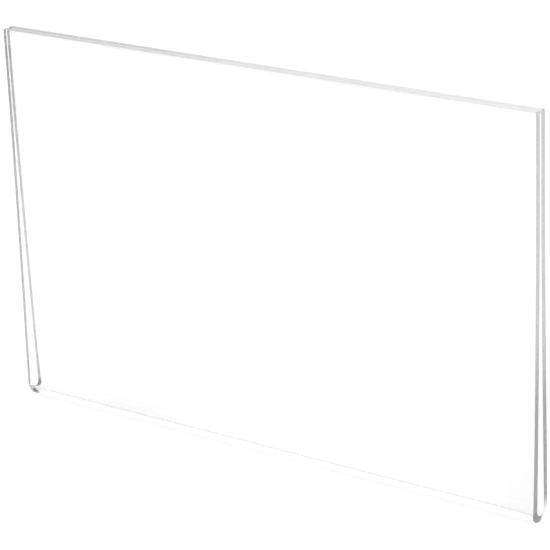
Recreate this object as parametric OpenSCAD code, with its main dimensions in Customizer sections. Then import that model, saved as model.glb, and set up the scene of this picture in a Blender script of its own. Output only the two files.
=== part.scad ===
// Folded clear guard: one acrylic sheet, heat-bent along the middle into a narrow two-walled sleeve.
// The origin is at the bottom centre of the bend, X runs along the bend and +Z points up to the open top.
// The sheet is one piece. Its nodes are the sections that behave differently: two walls and two halves
// of the bend, split along the line that the sheet flexes about when its walls are pulled apart.

/* [Sheet] */
// Width along the bend (mm)
guard_w = 279.4; // [100:0.1:600]
// Height from the lowest line of the bend to the top edges (mm)
guard_h = 183.3; // [120:0.1:400]
// Sheet thickness (mm)
sheet_t = 3.175; // [1.5:0.005:5]

/* [Bend] */
// Inner radius of the bend (mm)
bend_r = 2.9; // [2:0.1:5]

/* [Slot] */
// Gap between the walls where they run parallel (mm)
slot_gap = 1.05; // [0.5:0.05:3]
// Height at which the walls become parallel, as a share of the full height
parallel_at = 0.8; // [0.5:0.05:0.9]
// How fast the walls close towards each other, as the power of their curve
closing_power = 1.5; // [1:0.1:3]

/* [Hidden] */
$fn = 128;

// Steps along the curved part of a wall
wall_steps = 24;
acrylic = [0.93, 0.96, 0.96, 0.4];

fold_r = bend_r + sheet_t;
parallel_z = parallel_at * guard_h;

// Lean of the walls where they leave the bend, from the slope of their curve there
lean = atan(closing_power * (bend_r - slot_gap / 2) / (parallel_z - fold_r));

// Point on the radial line where the bend ends and the rear wall starts, at radius r
function fold_end(r) = [r * cos(lean), fold_r + r * sin(lean)];

// Point of the rear wall at share s of its curve, starting from the bend's end at radius r.
// The wall runs from there to half the slot's gap plus its own depth, and is upright at s = 1.
function wall_point(r, s) =
    let(start = fold_end(r), end_y = slot_gap / 2 + r - bend_r)
    [
        end_y + (start[0] - end_y) * pow(1 - s, closing_power),
        start[1] + (parallel_z - start[1]) * s
    ];

// Section of the rear wall, as [y, z] points: up its inner face and down its outer face
function wall_section() = [
    for (i = [0 : wall_steps]) wall_point(bend_r, i / wall_steps),
    [slot_gap / 2, guard_h],
    [slot_gap / 2 + sheet_t, guard_h],
    for (i = [wall_steps : -1 : 0]) wall_point(fold_r, i / wall_steps)
];

// Runs a section drawn in [y, z] along the guard's full width
module along_width() {
    rotate([90, 0, 90])
        linear_extrude(guard_w, center = true)
            children();
}

module wall() {
    along_width() polygon(wall_section());
}

// Half of the bend on the rear side, from the lowest line of the sheet up to where the wall starts
module half_fold() {
    along_width()
        intersection() {
            difference() {
                translate([0, fold_r]) circle(fold_r);
                translate([0, fold_r]) circle(bend_r);
            }
            polygon([
                [0, -fold_r],
                [2 * fold_r, -fold_r],
                [2 * fold_r * cos(lean), fold_r + 2 * fold_r * sin(lean)],
                [0, fold_r]
            ]);
        }
}

module rear_panel() {
    color(acrylic) wall();
}

module rear_fold() {
    color(acrylic) half_fold();
}

module front_fold() {
    color(acrylic) mirror([0, 1, 0]) half_fold();
}

module front_panel() {
    color(acrylic) mirror([0, 1, 0]) wall();
}

rear_panel();
rear_fold();
front_fold();
front_panel();
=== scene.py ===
import math

import bpy
from mathutils import Matrix, Vector


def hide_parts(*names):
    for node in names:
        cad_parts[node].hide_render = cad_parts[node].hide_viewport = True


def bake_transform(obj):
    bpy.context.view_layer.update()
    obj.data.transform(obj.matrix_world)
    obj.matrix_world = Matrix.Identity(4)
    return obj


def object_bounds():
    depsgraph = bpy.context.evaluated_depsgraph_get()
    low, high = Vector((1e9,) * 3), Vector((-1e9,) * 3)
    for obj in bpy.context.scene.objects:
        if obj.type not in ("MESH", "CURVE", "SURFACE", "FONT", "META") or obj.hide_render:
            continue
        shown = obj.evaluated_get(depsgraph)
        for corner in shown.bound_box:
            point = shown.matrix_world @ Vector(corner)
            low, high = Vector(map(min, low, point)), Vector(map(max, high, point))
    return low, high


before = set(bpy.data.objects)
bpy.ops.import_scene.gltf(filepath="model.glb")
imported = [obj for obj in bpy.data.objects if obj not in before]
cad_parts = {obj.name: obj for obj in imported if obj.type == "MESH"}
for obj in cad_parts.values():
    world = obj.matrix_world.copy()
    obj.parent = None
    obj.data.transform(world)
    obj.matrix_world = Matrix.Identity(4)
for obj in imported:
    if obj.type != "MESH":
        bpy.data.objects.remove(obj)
cad_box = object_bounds()

# ---------------------------------------------------------------- sizes, in metres

WIDTH = cad_box[1].x - cad_box[0].x
HEIGHT = cad_box[1].z

# The driving dimensions of the part
SHEET_T = 0.003175
BEND_R = 0.0029
SLOT_GAP = 0.00105
# Height from which the walls run parallel, as a share of the full height
PARALLEL_AT = 0.8
CLOSING_POWER = 1.5

# Rounding of the flame-polished tops and of the sawn ends
TOP_ROUNDING = 0.0006
END_ROUNDING = 0.00015
ROUNDING_STEPS = 4

# How far the fold's outer skin is drawn in at the ends, and over what length
END_DRAW = 0.0008
END_REACH = 0.006
# How far the fold's ends curl down, and over what length
END_CURL = 0.0007
CURL_REACH = 0.009
# How much narrower the slot is at the top of the left end
LEFT_PINCH = 0.0004

# Rows of faces up half the fold and up a wall, columns across half the width, and layers of the rim
FOLD_ROWS = 24
WALL_ROWS = 28
END_COLUMNS = 24
SKIN_ROWS = 4


# ---------------------------------------------------------------- node trees

class Nodes:
    """Adds nodes to a tree and links them, one call to a node."""

    def __init__(self, tree):
        self.tree = tree

    def add(self, kind, inputs=None, **settings):
        node = self.tree.nodes.new(kind)
        for name, value in settings.items():
            setattr(node, name, value)
        for key, value in (inputs or {}).items():
            self.put(node.inputs[key], value)
        return node

    def put(self, socket, value):
        if isinstance(value, Number):
            value = value.socket
        if isinstance(value, bpy.types.NodeSocket):
            self.tree.links.new(value, socket)
        else:
            socket.default_value = value

    def number(self, socket):
        return Number(self, socket)


class Number:
    """A number that a node puts out, which can be used in a formula."""

    def __init__(self, nodes, socket):
        self.nodes = nodes
        self.socket = socket

    def math(self, operation, *others):
        node = self.nodes.add("ShaderNodeMath", operation=operation)
        for socket, value in zip(node.inputs, (self, *others)):
            self.nodes.put(socket, value)
        return Number(self.nodes, node.outputs[0])

    def __add__(self, other):
        return self.math("ADD", other)

    def __sub__(self, other):
        return self.math("SUBTRACT", other)

    def __mul__(self, other):
        return self.math("MULTIPLY", other)

    def __truediv__(self, other):
        return self.math("DIVIDE", other)

    def __pow__(self, other):
        return self.math("POWER", other)

    def __rtruediv__(self, other):
        return (self ** -1) * other

    __radd__ = __add__
    __rmul__ = __mul__

    def __rsub__(self, other):
        return (self * -1) + other

    def smooth(self, low, high):
        """0 below low and 1 above high, with a soft step between them."""
        node = self.nodes.add("ShaderNodeMapRange", interpolation_type="SMOOTHSTEP")
        for name, value in (("Value", self), ("From Min", low), ("From Max", high)):
            self.nodes.put(node.inputs[name], value)
        return Number(self.nodes, node.outputs["Result"])


# ---------------------------------------------------------------- the folded sheet

def fold_tree(faces, finishes):
    """Geometry nodes that fold a flat blank into the sleeve.

    The blank is a box of 2 x 2 x 2 whose coordinates are shares: x runs across the width, y along the
    sheet from the front wall's top edge through the fold to the rear wall's, and z through the thickness,
    where +1 is the outside. finishes gives the material of each part of the rim by its mask's name.
    """
    tree = bpy.data.node_groups.new("fold_sheet", "GeometryNodeTree")
    tree.interface.new_socket("Geometry", in_out="OUTPUT", socket_type="NodeSocketGeometry")
    for name in ("Width", "Height", "Thickness", "Bend Radius", "Slot Gap", "Parallel At",
                 "Closing Power", "End Draw", "End Reach", "End Curl", "Curl Reach",
                 "End Rounding", "Left Pinch"):
        tree.interface.new_socket(name, in_out="INPUT", socket_type="NodeSocketFloat")
    for name in ("Fold Rows", "Wall Rows", "End Columns", "Skin Rows"):
        tree.interface.new_socket(name, in_out="INPUT", socket_type="NodeSocketInt")

    n = Nodes(tree)
    given = n.add("NodeGroupInput")
    size = {socket.name: n.number(socket) for socket in given.outputs if socket.name}

    rows = size["Fold Rows"] + size["Wall Rows"]
    blank = n.add("GeometryNodeMeshCube", {
        "Size": (2, 2, 2),
        "Vertices X": size["End Columns"] * 2 + 1,
        "Vertices Y": rows * 2 + 1,
        "Vertices Z": size["Skin Rows"] + 1,
    })
    facing = n.add("ShaderNodeSeparateXYZ", {"Vector": n.add("GeometryNodeInputNormal").outputs[0]})
    on_end, on_top = (n.number(facing.outputs[axis]).math("ABSOLUTE").math("GREATER_THAN", 0.5)
                      for axis in "XY")
    place = n.add("ShaderNodeSeparateXYZ", {"Vector": n.add("GeometryNodeInputPosition").outputs[0]})
    across, along, through = (n.number(place.outputs[axis]) for axis in "XYZ")
    at_end, at_top, at_skin = (share.math("ABSOLUTE").math("GREATER_THAN", 0.9999)
                               for share in (across, along, through))
    fold_share = size["Fold Rows"] / rows
    in_fold = along.math("ABSOLUTE").math("LESS_THAN", fold_share + 0.001)
    rounding = at_skin * (at_top + (1 - at_top) * at_end * size["End Rounding"])

    marked = blank
    for name, domain, value in (("sawn_end", "FACE", on_end), ("fold_end", "FACE", on_end * in_fold),
                                ("top_edge", "FACE", on_top), ("bevel_weight_edge", "EDGE", rounding)):
        marked = n.add("GeometryNodeStoreNamedAttribute", {
            "Geometry": marked.outputs[0], "Name": name, "Value": value}, data_type="FLOAT", domain=domain)

    # Columns close up towards the two ends, where the sheet is drawn in.
    x_share = (across * (math.pi / 2)).math("SINE")
    x = x_share * size["Width"] / 2

    side = along.math("SIGN")
    climb = along.math("ABSOLUTE")
    radius = size["Bend Radius"] + size["Thickness"] * (through + 1) / 2
    fold_r = size["Bend Radius"] + size["Thickness"]
    parallel_z = size["Height"] * size["Parallel At"]
    lean = (size["Closing Power"] * (size["Bend Radius"] - size["Slot Gap"] / 2)
            / (parallel_z - fold_r)).math("ARCTANGENT")

    turn = (climb / fold_share).math("MINIMUM", 1) * (lean + math.pi / 2)
    fold_y = radius * turn.math("SINE")
    fold_z = fold_r - radius * turn.math("COSINE")

    start_z = fold_r + radius * lean.math("SINE")
    start_y = radius * lean.math("COSINE")
    end_y = size["Slot Gap"] / 2 + radius - size["Bend Radius"]
    up_wall = ((climb - fold_share) / (1 - fold_share)).math("MAXIMUM", 0)
    wall_z = start_z + (size["Height"] - start_z) * up_wall
    closing = (1 - (wall_z - start_z) / (parallel_z - start_z)).math("MAXIMUM", 0)
    wall_y = end_y + (start_y - end_y) * closing ** size["Closing Power"]
    # The two walls come a little closer to each other towards the top of the left end.
    pinch = size["Left Pinch"] / 2 * (1 - x_share) / 2 * (wall_z / size["Height"]).smooth(0.55, 1.0)
    wall_y = wall_y - pinch

    on_wall = climb.math("GREATER_THAN", fold_share)
    y = side * (fold_y + (wall_y - fold_y) * on_wall)
    z = fold_z + (wall_z - fold_z) * on_wall

    # Bending stretches the outside of the fold, which draws its ends in a little.
    from_end = (size["Width"] / 2 - x.math("ABSOLUTE")) / size["End Reach"]
    near_end = (1 - from_end).math("MAXIMUM", 0) ** 2
    near_fold = 1 - (climb / fold_share).smooth(0.55, 1.25)
    drawn = size["End Draw"] * near_end * near_fold * (through + 1) / 2
    # It also curls the ends down, so between them the underside stands a little higher.
    curled = (1 - (size["Width"] / 2 - x.math("ABSOLUTE")) / size["Curl Reach"]).math("MAXIMUM", 0) ** 2
    z = z + size["End Curl"] * (1 - curled) * (1 - (climb / fold_share).smooth(0.0, 1.0))
    x = x - drawn * x.math("SIGN")

    folded = n.add("GeometryNodeSetPosition", {
        "Geometry": marked.outputs[0],
        "Position": n.add("ShaderNodeCombineXYZ", {"X": x, "Y": y, "Z": z}).outputs[0],
    })
    # The fold swaps two axes of the blank, which turns its faces inwards.
    outwards = n.add("GeometryNodeFlipFaces", {"Mesh": folded.outputs[0]})
    real = n.add("GeometryNodeRealizeInstances", {"Geometry": outwards.outputs[0]})
    dressed = n.add("GeometryNodeSetMaterial", {"Geometry": real.outputs[0], "Material": faces})
    for name, finish in finishes.items():
        chosen = n.add("GeometryNodeInputNamedAttribute", {"Name": name}, data_type="FLOAT")
        dressed = n.add("GeometryNodeSetMaterial", {
            "Geometry": dressed.outputs[0], "Material": finish,
            "Selection": n.number(chosen.outputs[0]).math("GREATER_THAN", 0.5)})
    n.add("NodeGroupOutput", {"Geometry": dressed.outputs[0]})
    return tree


def set_inputs(modifier, **values):
    """Sets a Geometry Nodes modifier's inputs by their names."""
    for item in modifier.node_group.interface.items_tree:
        if item.in_out == "INPUT":
            modifier[item.identifier] = values[item.name.replace(" ", "_").lower()]


def folded_sheet(faces, finishes):
    """The whole sheet as one closed mesh with polished, slightly rounded edges."""
    draft = bpy.data.objects.new("draft", bpy.data.meshes.new("draft"))
    bpy.context.scene.collection.objects.link(draft)
    fold = draft.modifiers.new("fold", "NODES")
    fold.node_group = fold_tree(faces, finishes)
    set_inputs(fold, width=WIDTH, height=HEIGHT, thickness=SHEET_T, bend_radius=BEND_R,
               slot_gap=SLOT_GAP, parallel_at=PARALLEL_AT, closing_power=CLOSING_POWER,
               end_draw=END_DRAW, end_reach=END_REACH, end_curl=END_CURL, curl_reach=CURL_REACH,
               end_rounding=END_ROUNDING / TOP_ROUNDING, left_pinch=LEFT_PINCH,
               fold_rows=FOLD_ROWS, wall_rows=WALL_ROWS, end_columns=END_COLUMNS,
               skin_rows=SKIN_ROWS)

    polish = draft.modifiers.new("polish", "BEVEL")
    polish.width = TOP_ROUNDING
    polish.segments = ROUNDING_STEPS
    polish.limit_method = "WEIGHT"
    normals = draft.modifiers.new("normals", "WEIGHTED_NORMAL")
    normals.weight = 100

    graph = bpy.context.evaluated_depsgraph_get()
    mesh = bpy.data.meshes.new_from_object(draft.evaluated_get(graph), depsgraph=graph)
    bpy.data.objects.remove(draft)
    # The modifier leaves an empty slot in front of the four finishes.
    mesh.materials.pop(index=0)
    mesh.name = "folded_sheet"
    sheet = bpy.data.objects.new("folded_sheet", mesh)
    bpy.context.scene.collection.objects.link(sheet)
    return sheet


# ---------------------------------------------------------------- materials

ACRYLIC_IOR = 1.49
ACRYLIC_DENSITY = 0.15
SHADOW_LIGHT = 0.95
SCRATCH_SLANT = 28
SAW_LINES_PER_METRE = 900
# Transmission weight of each finish, of which the rest is a matt grey
FACE_CLEAR = 1.0
TOP_CLEAR = 0.75
SAWN_CLEAR = 0.67
FOLD_CLEAR = 0.35

FLOOR_GREY = 0.3
FLOOR_ROUGHNESS = 0.9
FLOOR_GLOW = 0.74

# Greys of painted shade on the sawn ends up the height, as (share of the full height, grey)
SAWN_PAINTED_SHADE_OUTSIDE = ((0.1, 0.38), (0.3, 0.4), (0.48, 0.78), (1.0, 0.8))
SAWN_PAINTED_SHADE_INSIDE = ((0.04, 0.22), (0.15, 0.5), (0.6, 0.38), (0.95, 0.0))
# The rear wall's end fades to this grey of painted light where it meets the fold, between two heights
PAINTED_LIGHT_GREY = 0.95
PAINTED_LIGHT_HEIGHTS = (0.0062, 0.012)

def marks_group():
    """Fine wear for the sheet's finishes: hairline scratches, and smudges from handling.

    Puts out a mask of each on the object's own coordinates. Smudge Size is in metres, and Scratch
    Density in scratches per metre.
    """
    group = bpy.data.node_groups.new("handling_marks", "ShaderNodeTree")
    group.interface.new_socket("Smudge Size", in_out="INPUT", socket_type="NodeSocketFloat")
    group.interface.new_socket("Scratch Density", in_out="INPUT", socket_type="NodeSocketFloat")
    group.interface.new_socket("Smudges", in_out="OUTPUT", socket_type="NodeSocketFloat")
    group.interface.new_socket("Scratches", in_out="OUTPUT", socket_type="NodeSocketFloat")
    n = Nodes(group)
    given = n.add("NodeGroupInput")
    place = n.add("ShaderNodeTexCoord").outputs["Object"]
    cloud = n.add("ShaderNodeTexNoise", {
        "Vector": place, "Scale": 1 / n.number(given.outputs["Smudge Size"]),
        "Detail": 3, "Distortion": 0.6})
    smudges = n.number(cloud.outputs["Fac"]).smooth(0.42, 0.68)
    # Scratches are the thin cell walls of a pattern that is drawn out along one slanting direction.
    slanted = n.add("ShaderNodeMapping", {
        "Vector": place, "Rotation": (0, math.radians(SCRATCH_SLANT), 0), "Scale": (0.06, 1, 1)})
    cells = n.add("ShaderNodeTexVoronoi", {
        "Vector": slanted.outputs[0], "Scale": given.outputs["Scratch Density"]},
        feature="DISTANCE_TO_EDGE")
    near = 1 - n.number(cells.outputs["Distance"]).smooth(0.004, 0.012)
    patches = n.add("ShaderNodeTexNoise", {"Vector": place, "Scale": 25, "Detail": 2})
    scratches = near * n.number(patches.outputs["Fac"]).smooth(0.52, 0.62)
    n.add("NodeGroupOutput", {"Smudges": smudges, "Scratches": scratches})
    return group


def acrylic(name, base, roughness, transmission):
    """Clear acrylic that lets shadows through. base and roughness make its grey and its roughness."""
    material = bpy.data.materials.new(name)
    material.use_nodes = True
    material.node_tree.nodes.clear()
    n = Nodes(material.node_tree)
    body = n.add("ShaderNodeBsdfPrincipled", {
        "IOR": ACRYLIC_IOR,
        "Transmission Weight": transmission,
        "Base Color": base(n),
        "Roughness": roughness(n),
    })
    depth = n.add("ShaderNodeVolumeAbsorption", {
        "Color": (0, 0, 0, 1), "Density": ACRYLIC_DENSITY})
    path = n.add("ShaderNodeLightPath")
    shadow = n.add("ShaderNodeBsdfTransparent", {
        "Color": (SHADOW_LIGHT, SHADOW_LIGHT, SHADOW_LIGHT, 1)})
    mix = n.add("ShaderNodeMixShader", {
        0: path.outputs["Is Shadow Ray"], 1: body.outputs[0], 2: shadow.outputs[0]})
    n.add("ShaderNodeOutputMaterial", {"Surface": mix.outputs[0], "Volume": depth.outputs[0]})
    return material


def handling_marks(n, marks, smudge_size, scratch_density):
    """The smudges' mask and the scratches' mask, for one finish."""
    worn = n.add("ShaderNodeGroup", {}, node_tree=marks)
    n.put(worn.inputs["Smudge Size"], smudge_size)
    n.put(worn.inputs["Scratch Density"], scratch_density)
    return n.number(worn.outputs["Smudges"]), n.number(worn.outputs["Scratches"])


def beside_slot(n, near, far):
    """0 up to a distance near from the slot's wall and 1 beyond far, on the inner faces and tops."""
    from_middle = object_place(n, "Y").math("ABSOLUTE")
    return from_middle.smooth(SLOT_GAP / 2 + near, SLOT_GAP / 2 + far)


def clear_acrylic(marks):
    """The faces: gloss, with smudges, scratches, painted shade in the mouth of the slot and a strip of
    painted shade along the front of the underside."""
    def base(n):
        smudges, _ = handling_marks(n, marks, 0.09, 60)
        # Painted shade in the mouth of the slot, near the top.
        in_slot = 1 - beside_slot(n, 0.0002, 0.0006)
        painted_slot_shade = in_slot * object_place(n, "Z").smooth(HEIGHT - 0.0018, HEIGHT - 0.0008)
        y = object_place(n, "Y")
        # Painted shade along a strip at the front of the underside.
        under = 1 - object_place(n, "Z").smooth(0.0014, 0.0018)
        painted_underside_shade = y.smooth(-0.0044, -0.0036) * (1 - y.smooth(-0.0022, -0.0012))
        return (1 - 0.035 * smudges) * (1 - 0.4 * painted_slot_shade) * (1 - 0.25 * under * painted_underside_shade)

    def roughness(n):
        smudges, scratches = handling_marks(n, marks, 0.09, 60)
        return 0.03 * smudges + 0.12 * scratches

    return acrylic("clear_sheet", base, roughness, FACE_CLEAR)


def by_height(n, stops):
    """A grey that follows the height, from stops of (share of the full height, grey)."""
    place = n.add("ShaderNodeSeparateXYZ", {"Vector": n.add("ShaderNodeTexCoord").outputs["Object"]})
    ramp = n.add("ShaderNodeValToRGB", {"Fac": n.number(place.outputs["Z"]) / HEIGHT})
    elements = ramp.color_ramp.elements
    while len(elements) < len(stops):
        elements.new(0.5)
    for element, (share, grey) in zip(elements, stops):
        element.position = share
        element.color = (grey, grey, grey, 1)
    return n.number(ramp.outputs["Color"])


def saw_marks_group():
    """The saw's fine lines across the sheet's thickness, as a mask that changes with the height."""
    group = bpy.data.node_groups.new("saw_marks", "ShaderNodeTree")
    group.interface.new_socket("Lines Per Metre", in_out="INPUT", socket_type="NodeSocketFloat")
    group.interface.new_socket("Grooves", in_out="OUTPUT", socket_type="NodeSocketFloat")
    n = Nodes(group)
    given = n.add("NodeGroupInput")
    across = n.add("ShaderNodeMapping", {
        "Vector": n.add("ShaderNodeTexCoord").outputs["Object"], "Scale": (0, 0.06, 1)})
    lines = n.add("ShaderNodeTexNoise", {
        "Vector": across.outputs[0], "Scale": given.outputs[0], "Detail": 2, "Roughness": 0.6})
    n.add("NodeGroupOutput", {"Grooves": n.number(lines.outputs["Fac"]).smooth(0.35, 0.7)})
    return group


def grooves(n, saw_marks):
    """The saw marks' mask, for one finish."""
    sawn = n.add("ShaderNodeGroup", {}, node_tree=saw_marks)
    n.put(sawn.inputs["Lines Per Metre"], SAW_LINES_PER_METRE)
    return n.number(sawn.outputs["Grooves"])


def object_place(n, axis):
    """The place along one axis of the object, in metres."""
    place = n.add("ShaderNodeSeparateXYZ", {"Vector": n.add("ShaderNodeTexCoord").outputs["Object"]})
    return n.number(place.outputs[axis])


def rear_side(n):
    """0 on the front half of an end and 1 on the rear half, with a soft step of 3 mm."""
    return object_place(n, "Y").smooth(0.0, 0.003)


def sawn_end(saw_marks):
    """The walls' sawn ends: satin, with painted shade as one run of greys outside and another seen from
    inside, and painted light where the rear wall's end meets the fold.
    """
    def base(n):
        seen_inside = n.number(n.add("ShaderNodeNewGeometry").outputs["Backfacing"])
        # Painted shade: greys up the height, one run seen from outside and another seen from inside.
        outside = by_height(n, SAWN_PAINTED_SHADE_OUTSIDE)
        inside = by_height(n, SAWN_PAINTED_SHADE_INSIDE)
        # Painted light: the rear wall's end turns lighter where it meets the fold.
        painted_rear_light = rear_side(n) * (1 - object_place(n, "Z").smooth(*PAINTED_LIGHT_HEIGHTS))
        outside = outside + (PAINTED_LIGHT_GREY - outside) * painted_rear_light
        grey = outside * (1 - seen_inside) + inside * seen_inside
        return grey * (1.06 - 0.12 * grooves(n, saw_marks))

    def roughness(n):
        return 0.52 + 0.16 * grooves(n, saw_marks)

    return acrylic("sawn_end", base, roughness, SAWN_CLEAR)


def fold_end(saw_marks):
    """The ends of the fold, which are matt, and darkest in front and along the underside, as painted
    shade, with a lighter rear half as painted light, and different greys seen from inside and from
    outside.
    """
    def base(n):
        seen_inside = n.number(n.add("ShaderNodeNewGeometry").outputs["Backfacing"])
        # Painted shade and light: seen from inside, dark except in front above the underside; seen from
        # outside, dark in front and light on the rear half.
        front_and_up = (object_place(n, "Z").smooth(0.0005, 0.0014)
                        * (1 - object_place(n, "Y").smooth(-0.002, 0)))
        outside = 0.3 + 0.7 * rear_side(n)
        inside = 0.04 + 0.9 * front_and_up
        grey = outside * (1 - seen_inside) + inside * seen_inside
        return grey * (1.06 - 0.12 * grooves(n, saw_marks))

    def roughness(n):
        return 0.56 + 0.16 * grooves(n, saw_marks)

    return acrylic("fold_end", base, roughness, FOLD_CLEAR)


def top_edge(marks):
    """The flame-polished tops, with painted shade along the slot between them that thins out to the right.
    """
    def base(n):
        along_slot = 1 - beside_slot(n, 0.0004, 0.0008)
        # Painted shade along the slot, darker to the left.
        painted_slot_shade = 0.3 - 0.3 * object_place(n, "X").smooth(-0.08, 0.04)
        return 1 - painted_slot_shade * along_slot

    def roughness(n):
        smudges, scratches = handling_marks(n, marks, 0.02, 150)
        return 0.28 + 0.08 * smudges + 0.06 * scratches

    return acrylic("top_edge", base, roughness, TOP_CLEAR)


def white_floor():
    """The floor is lit from below, like a light table."""
    material = bpy.data.materials.new("white_floor")
    material.use_nodes = True
    shader = material.node_tree.nodes["Principled BSDF"]
    shader.inputs["Base Color"].default_value = (FLOOR_GREY, FLOOR_GREY, FLOOR_GREY, 1)
    shader.inputs["Roughness"].default_value = FLOOR_ROUGHNESS
    shader.inputs["Emission Color"].default_value = (1, 1, 1, 1)
    shader.inputs["Emission Strength"].default_value = FLOOR_GLOW
    return material


# ---------------------------------------------------------------- studio

VIEW_AZIMUTH = math.radians(35.62)
VIEW_ELEVATION = math.radians(20.92)
VIEW_ROLL = math.radians(-2.38)
VIEW_DISTANCE = 5.9671 * HEIGHT
VIEW_RIGHT = -0.02689 * HEIGHT
VIEW_UP = 0.02418 * HEIGHT
LENS = 161.3
SENSOR = 36

FLOOR_SIZE = 12
BACKDROP_SIDE = (0, 1, 0)
# Strength of the light from the open side and from the backdrop
OPEN_SIDE_LIGHT = 0.88
BACKDROP_LIGHT = 1.15
# Light is reflected many times inside the sheet before it leaves it.
LIGHT_BOUNCES = 96
CLEAR_BOUNCES = 16


def camera():
    """The camera looks at the middle of the sheet, moved sideways and up, and slightly rolled."""
    data = bpy.data.cameras.new("camera")
    data.lens = LENS
    data.sensor_width = SENSOR
    view = bpy.data.objects.new("camera", data)
    bpy.context.scene.collection.objects.link(view)
    bpy.context.scene.camera = view
    forward = Vector((-math.sin(VIEW_AZIMUTH) * math.cos(VIEW_ELEVATION),
                      math.cos(VIEW_AZIMUTH) * math.cos(VIEW_ELEVATION),
                      -math.sin(VIEW_ELEVATION)))
    level = Vector((math.cos(VIEW_AZIMUTH), math.sin(VIEW_AZIMUTH), 0))
    above = level.cross(forward)
    right = math.cos(VIEW_ROLL) * level + math.sin(VIEW_ROLL) * above
    up = math.cos(VIEW_ROLL) * above - math.sin(VIEW_ROLL) * level
    place = (Vector((0, 0, HEIGHT / 2)) - VIEW_DISTANCE * forward
             - VIEW_RIGHT * right - VIEW_UP * up)
    turn = Matrix((right, up, -forward)).transposed()
    view.matrix_world = Matrix.Translation(place) @ turn.to_4x4()


def studio():
    bpy.ops.mesh.primitive_plane_add(size=FLOOR_SIZE)
    floor = bpy.context.object
    floor.name = "floor"
    floor.data.materials.append(white_floor())
    bpy.context.scene.world = studio_light()


def studio_light():
    """Even light from the white backdrop, which falls off towards the open side of the studio."""
    world = bpy.data.worlds.new("studio")
    world.use_nodes = True
    world.node_tree.nodes.clear()
    n = Nodes(world.node_tree)
    direction = n.add("ShaderNodeTexCoord")
    facing = n.add("ShaderNodeVectorMath", {0: direction.outputs["Generated"], 1: BACKDROP_SIDE},
                   operation="DOT_PRODUCT")
    light = n.add("ShaderNodeMapRange", {
        "Value": facing.outputs["Value"], "From Min": -0.5, "From Max": 0.5,
        "To Min": OPEN_SIDE_LIGHT, "To Max": BACKDROP_LIGHT}, interpolation_type="SMOOTHSTEP")
    background = n.add("ShaderNodeBackground", {
        "Color": (1, 1, 1, 1), "Strength": light.outputs["Result"]})
    n.add("ShaderNodeOutputWorld", {"Surface": background.outputs[0]})
    return world


def render_settings():
    scene = bpy.context.scene
    scene.view_settings.view_transform = "Standard"
    scene.cycles.max_bounces = LIGHT_BOUNCES
    scene.cycles.glossy_bounces = LIGHT_BOUNCES
    scene.cycles.transmission_bounces = LIGHT_BOUNCES
    scene.cycles.transparent_max_bounces = CLEAR_BOUNCES


# ---------------------------------------------------------------- the model

marks = marks_group()
saw_marks = saw_marks_group()
sheet = folded_sheet(clear_acrylic(marks), {
    "sawn_end": sawn_end(saw_marks), "fold_end": fold_end(saw_marks), "top_edge": top_edge(marks)})
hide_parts("rear_panel", "rear_fold", "front_fold", "front_panel")
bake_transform(sheet)
camera()
studio()
render_settings()
